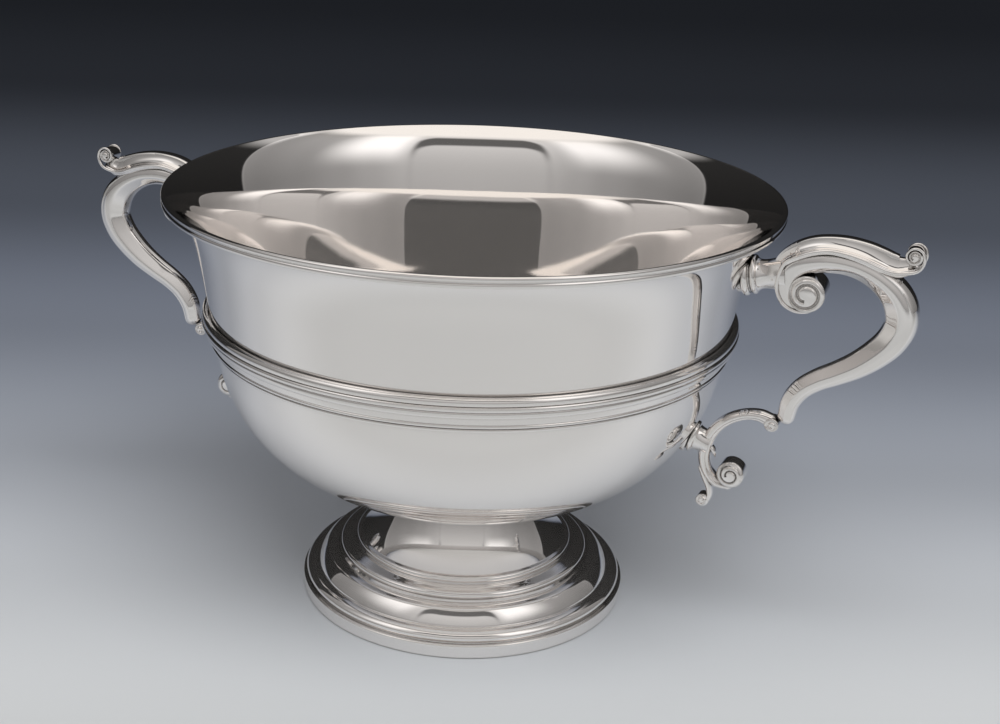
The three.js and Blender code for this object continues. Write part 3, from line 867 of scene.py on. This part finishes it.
def lower_plate():
    """Thin round plate against the belly."""
    outline = chain(
        (-4, 0),
        (-4, 10),
        line((-3.8, 10), (1.2, 10), 3),
        arc(1.2, 9.2, 0.8, 90, 0, 5),
        (2, 0),
    )
    return on_axis(LOWER_AXIS, outline)


def lower_socket():
    """Turned collar with one ring and a waist that runs into the bracket."""
    outline = chain(
        (1.6, 0),
        (1.6, 7.4),
        arc(3.6, 7.2, 1.5, 170, 10, 10),
        bezier((5.2, 7.1), (6.4, 6.6), (8, 6.2), (10, 6.4), 8),
        line((10.5, 6.4), (13, 6.7), 2),
        (13, 0),
    )
    return on_axis(LOWER_AXIS, outline)


# Faces of the scrolls. A spiral is [inner radius, pitch, start in degrees, turns].
VOLUTE_FACE = {
    "half_width": VOLUTE_HALF_WIDTH - 0.3,
    "dome": 1.7,
    "groove": 1.6,
    "breadth": 0.75,
    "spiral": (3.4, 3.7, 265, 1.75),
    "rings": 48,
}
THUMB_FACE = {
    "half_width": 4.8,
    "dome": 0.9,
    "groove": 0.8,
    "spiral": (1.4, 1.5, 240, 1.6),
    "edge": 0.6,
    "rings": 24,
}
BALL_FACE = {
    "half_width": 5.9,
    "dome": 1.3,
    "groove": 1.1,
    "spiral": (2.0, 2.6, 200, 1.6),
    "edge": 1.6,
    "rings": 28,
}
HEAD_FACE = {
    "half_width": 4.4,
    "dome": 0.6,
    "groove": 0.6,
    "spiral": (1.0, 1.6, 300, 1.3),
    "edge": 0.9,
    "rings": 16,
}
SPUR_FACE = {
    "half_width": 3.2,
    "dome": 0.8,
    "groove": 0.6,
    "spiral": (1.0, 1.5, 60, 1.4),
    "edge": 0.7,
    "rings": 16,
}


def handle(side, turn):
    """Every piece of one handle. The left one is the right one turned half round the bowl."""
    def add(name, body, *nodes):
        piece(f"{side}_{name}", *body, CAST, "cast_silver", [f"{side}_{node}" for node in nodes], turn)

    add("upper_boss", seated(upper_plate()), "upper_plate")
    add("upper_collar", seated(upper_socket()), "upper_socket")
    add("grip", sweep(GRIP_STATIONS, grip_section, 190), "grip_scroll")
    add("volute", scroll_button(VOLUTE, VOLUTE_RADIUS, **VOLUTE_FACE), "grip_scroll")
    add("strap", sweep(STRAP_STATIONS, strap_section, 120), "thumb_strap")
    add("strap_edges", strap_edges(), "thumb_strap")
    add("thumb_curl", scroll_button(THUMB, THUMB_RADIUS - THUMB_WIRE, **THUMB_FACE), "thumb_strap")
    add("lower_boss", seated(lower_plate()), "lower_plate")
    add("lower_collar", seated(lower_socket()), "lower_socket")
    add("bracket", sweep(BRACKET_STATIONS, bracket_section, 110), "bracket_scroll")
    add("ball", scroll_button(BALL, BALL_RADIUS, **BALL_FACE), "bracket_scroll")
    add("head", scroll_button(HEAD, HEAD_RADIUS, **HEAD_FACE), "bracket_scroll")
    add("bud", sweep(BUD_STATIONS, plain_section(2.2, 20), 24), "bracket_scroll")
    add("spur", sweep(SPUR_STATIONS, plain_section(2.2, 24), 40), "bracket_spur")
    add("spur_curl", scroll_button(SPUR_CURL, SPUR_CURL_RADIUS, **SPUR_FACE), "bracket_spur")


def make_camera():
    """The photo's viewpoint, turned and tipped as the photographer's camera was."""
    data = bpy.data.cameras.new("photo_camera")
    data.sensor_width = CAMERA_SENSOR
    data.lens = CAMERA_LENS
    data.shift_x, data.shift_y = CAMERA_SHIFT
    heading = math.radians(90 + CAMERA_AZIMUTH)
    pitch, roll = math.radians(CAMERA_PITCH), math.radians(CAMERA_ROLL)
    level = Vector((math.cos(heading), math.sin(heading), 0))
    right0 = Vector((level.y, -level.x, 0))
    forward = level * math.cos(pitch) - Vector((0, 0, math.sin(pitch)))
    up0 = level * math.sin(pitch) + Vector((0, 0, math.cos(pitch)))
    right = right0 * math.cos(roll) + up0 * math.sin(roll)
    up = up0 * math.cos(roll) - right0 * math.sin(roll)
    camera = bpy.data.objects.new("photo_camera", data)
    stand = math.radians(CAMERA_AZIMUTH - CAMERA_PAN)
    place = Vector((math.sin(stand), -math.cos(stand), 0)) * CAMERA_DISTANCE
    turn = Matrix((right, up, -forward)).transposed().to_4x4()
    camera.matrix_world = Matrix.Translation(place + Vector((0, 0, CAMERA_HEIGHT))) @ turn
    data.clip_start, data.clip_end = CAMERA_CLIP
    bpy.context.scene.collection.objects.link(camera)
    bpy.context.scene.camera = camera


def band(tree, value, opening, closing):
    """1 between two soft edges and 0 outside them."""
    opened, closed = step_between(tree, value, *opening), step_between(tree, value, *closing)
    return maths(tree, "SUBTRACT", opened, closed)


def tones(tree, value, stops):
    """A brightness that follows stops of [value, brightness]."""
    low, high = stops[0][0], stops[-1][0]
    ramp = tree.nodes.new("ShaderNodeValToRGB")
    ramp.color_ramp.interpolation = "EASE"
    elements = ramp.color_ramp.elements
    while len(elements) < len(stops):
        elements.new(0.5)
    for element, (place, tone) in zip(elements, stops):
        element.position = (place - low) / (high - low)
        element.color = (tone, tone, tone, 1)
    spread = node_of(tree, "ShaderNodeMapRange", From_Min=low, From_Max=high)
    tree.links.new(value, spread.inputs["Value"])
    tree.links.new(spread.outputs["Result"], ramp.inputs["Fac"])
    return ramp.outputs["Color"]


def along(tree, vector, direction):
    """How far a vector reaches along a direction."""
    made = node_of(tree, "ShaderNodeVectorMath", operation="DOT_PRODUCT")
    tree.links.new(vector, made.inputs[0])
    made.inputs[1].default_value = direction
    return made.outputs["Value"]


def studio_axes():
    """Level unit vectors from the bowl towards the camera's side and to its right."""
    turn = math.radians(CAMERA_AZIMUTH)
    return (math.sin(turn), -math.cos(turn), 0), (math.cos(turn), math.sin(turn), 0)


def blend(tree, share, a, b):
    """a where the share is 0 and the number b where it is 1."""
    rest = maths(tree, "MULTIPLY", a, maths(tree, "SUBTRACT", 1.0, share))
    return maths(tree, "ADD", rest, maths(tree, "MULTIPLY", share, b))


def rounded_door(tree, azimuth, height, centre, half_width, top, corner):
    """1 inside an upright opening with round upper corners and a soft edge, 0 outside it."""
    aside = maths(tree, "ABSOLUTE", maths(tree, "SUBTRACT", azimuth, centre))
    aside = maths(tree, "MAXIMUM", maths(tree, "SUBTRACT", aside, half_width - corner), 0.0)
    above = maths(tree, "MAXIMUM", maths(tree, "SUBTRACT", height, top - corner), 0.0)
    squares = maths(tree, "ADD", maths(tree, "MULTIPLY", aside, aside), maths(tree, "MULTIPLY", above, above))
    reach = maths(tree, "SQRT", squares)
    past = step_between(tree, reach, corner - FRAME_SOFTNESS, corner + FRAME_SOFTNESS)
    return maths(tree, "SUBTRACT", 1.0, past)


def make_room():
    """The light of the studio by direction: an open front, dark cloth behind, a ceiling and softboxes."""
    world = bpy.data.worlds.new("studio")
    bpy.context.scene.world = world
    world.use_nodes = True
    tree = world.node_tree
    tree.nodes.clear()
    out = node_of(tree, "ShaderNodeOutputWorld")
    glow = node_of(tree, "ShaderNodeBackground", Strength=1.0)
    tree.links.new(glow.outputs["Background"], out.inputs["Surface"])
    way = node_of(tree, "ShaderNodeTexCoord").outputs["Generated"]
    front, right = studio_axes()
    azimuth = maths(tree, "DEGREES", maths(tree, "ARCTAN2", along(tree, way, right), along(tree, way, front)))
    height = maths(tree, "DEGREES", maths(tree, "ARCSINE", along(tree, way, (0, 0, 1))))
    turned = maths(tree, "ABSOLUTE", azimuth)
    bow = maths(tree, "MULTIPLY", maths(tree, "MULTIPLY", height, height), ROOM_EDGE_BOW)
    tone = tones(tree, maths(tree, "SUBTRACT", turned, bow), ROOM_TONES)
    rise = maths(tree, "MULTIPLY_ADD", height, ROOM_RISE, ROOM_LEVEL)
    tone = maths(tree, "MULTIPLY", tone, rise)
    behind, over = step_between(tree, turned, *BACK_SIDE), step_between(tree, height, *BACK_EDGE)
    tone = maths(tree, "MULTIPLY_ADD", maths(tree, "MULTIPLY", behind, over), BACK_TONE, tone)
    ceiling = step_between(tree, height, *CEILING_EDGE)
    tone = blend(tree, ceiling, tone, CEILING_TONE)
    for left, right_edge, below, above, brightness in SOFTBOXES:
        across = band(tree, azimuth, left, right_edge)
        upright = band(tree, height, below, above)
        tone = blend(tree, maths(tree, "MULTIPLY", across, upright), tone, brightness)
    outside = rounded_door(tree, azimuth, height, *FRAME_OUTSIDE)
    opening = rounded_door(tree, azimuth, height, *FRAME_INSIDE)
    frame_share = maths(tree, "MULTIPLY", outside, maths(tree, "SUBTRACT", 1.0, opening))
    fade = step_between(tree, height, *FRAME_FADE)
    fade = maths(tree, "MULTIPLY_ADD", fade, 1 - FRAME_LOW_SHARE, FRAME_LOW_SHARE)
    tone = blend(tree, maths(tree, "MULTIPLY", frame_share, fade), tone, FRAME_TONE)
    warmth = node_of(tree, "ShaderNodeMix", data_type="RGBA")
    warmth.inputs["A"].default_value = (*ROOM_TINT, 1)
    warmth.inputs["B"].default_value = (*CEILING_TINT, 1)
    tree.links.new(step_between(tree, height, *CEILING_TINT_SPAN), warmth.inputs["Factor"])
    colour = node_of(tree, "ShaderNodeMix", data_type="RGBA", blend_type="MULTIPLY")
    colour.inputs["Factor"].default_value = 1.0
    tree.links.new(warmth.outputs["Result"], colour.inputs["A"])
    tree.links.new(tone, colour.inputs["B"])
    tree.links.new(colour.outputs["Result"], glow.inputs["Color"])


def make_floor():
    """A pale floor with shade painted into its colour: it darkens and cools towards the back, standing in for
    the studio light falling off behind the bowl.
    """
    mesh = bpy.data.meshes.new("studio_floor")
    reach = FLOOR_REACH
    corners = [(-reach, -reach, 0), (reach, -reach, 0), (reach, reach, 0), (-reach, reach, 0)]
    mesh.from_pydata(corners, [], [(0, 1, 2, 3)])
    floor = bpy.data.objects.new("studio_floor", mesh)
    bpy.context.scene.collection.objects.link(floor)
    material = bpy.data.materials.new("studio_floor")
    material.use_nodes = True
    tree = material.node_tree
    tree.nodes.clear()
    out = node_of(tree, "ShaderNodeOutputMaterial")
    paper = node_of(tree, "ShaderNodeBsdfPrincipled", Roughness=FLOOR_ROUGHNESS)
    paper.inputs["Specular IOR Level"].default_value = 0.0
    tree.links.new(paper.outputs["BSDF"], out.inputs["Surface"])
    place = node_of(tree, "ShaderNodeTexCoord").outputs["Object"]
    front, _ = studio_axes()
    behind = maths(tree, "MULTIPLY", along(tree, place, front), -1.0)
    # Painted shade: the colour darkens and cools with distance behind the bowl, in place of the light's
    # fall-off.
    tone = tones(tree, behind, FLOOR_PAINTED_FALLOFF)
    tint = node_of(tree, "ShaderNodeMix", data_type="RGBA")
    tint.inputs["A"].default_value = (*FLOOR_NEAR_TINT, 1)
    tint.inputs["B"].default_value = (*FLOOR_FAR_TINT, 1)
    tree.links.new(step_between(tree, behind, *FLOOR_TINT_SPAN), tint.inputs["Factor"])
    both = node_of(tree, "ShaderNodeMix", data_type="RGBA", blend_type="MULTIPLY")
    both.inputs["Factor"].default_value = 1.0
    tree.links.new(tone, both.inputs["A"])
    tree.links.new(tint.outputs["Result"], both.inputs["B"])
    tree.links.new(both.outputs["Result"], paper.inputs["Base Color"])
    mesh.materials.append(material)


def make_lamp(name, place, aim, size, power):
    """A broad soft lamp that mirrors don't show."""
    data = bpy.data.lights.new(name, "AREA")
    data.shape = "DISK"
    data.size = size
    data.energy = power
    lamp = bpy.data.objects.new(name, data)
    lamp.location = place
    lamp.rotation_euler = (Vector(aim) - Vector(place)).to_track_quat("-Z", "Y").to_euler()
    lamp.visible_glossy = False
    bpy.context.scene.collection.objects.link(lamp)


bpy.context.scene.view_settings.view_transform = "Standard"
bowl_shell()
rim_reeds()
girdle_reeds()
girdle_fillet()
foot_shell()
foot_edge()
neck_ring()
handle("right", 0.0)
handle("left", math.pi)
make_camera()
make_room()
make_floor()
make_lamp("front_lamp", LAMP_PLACE, LAMP_AIM, LAMP_SIZE, LAMP_POWER)
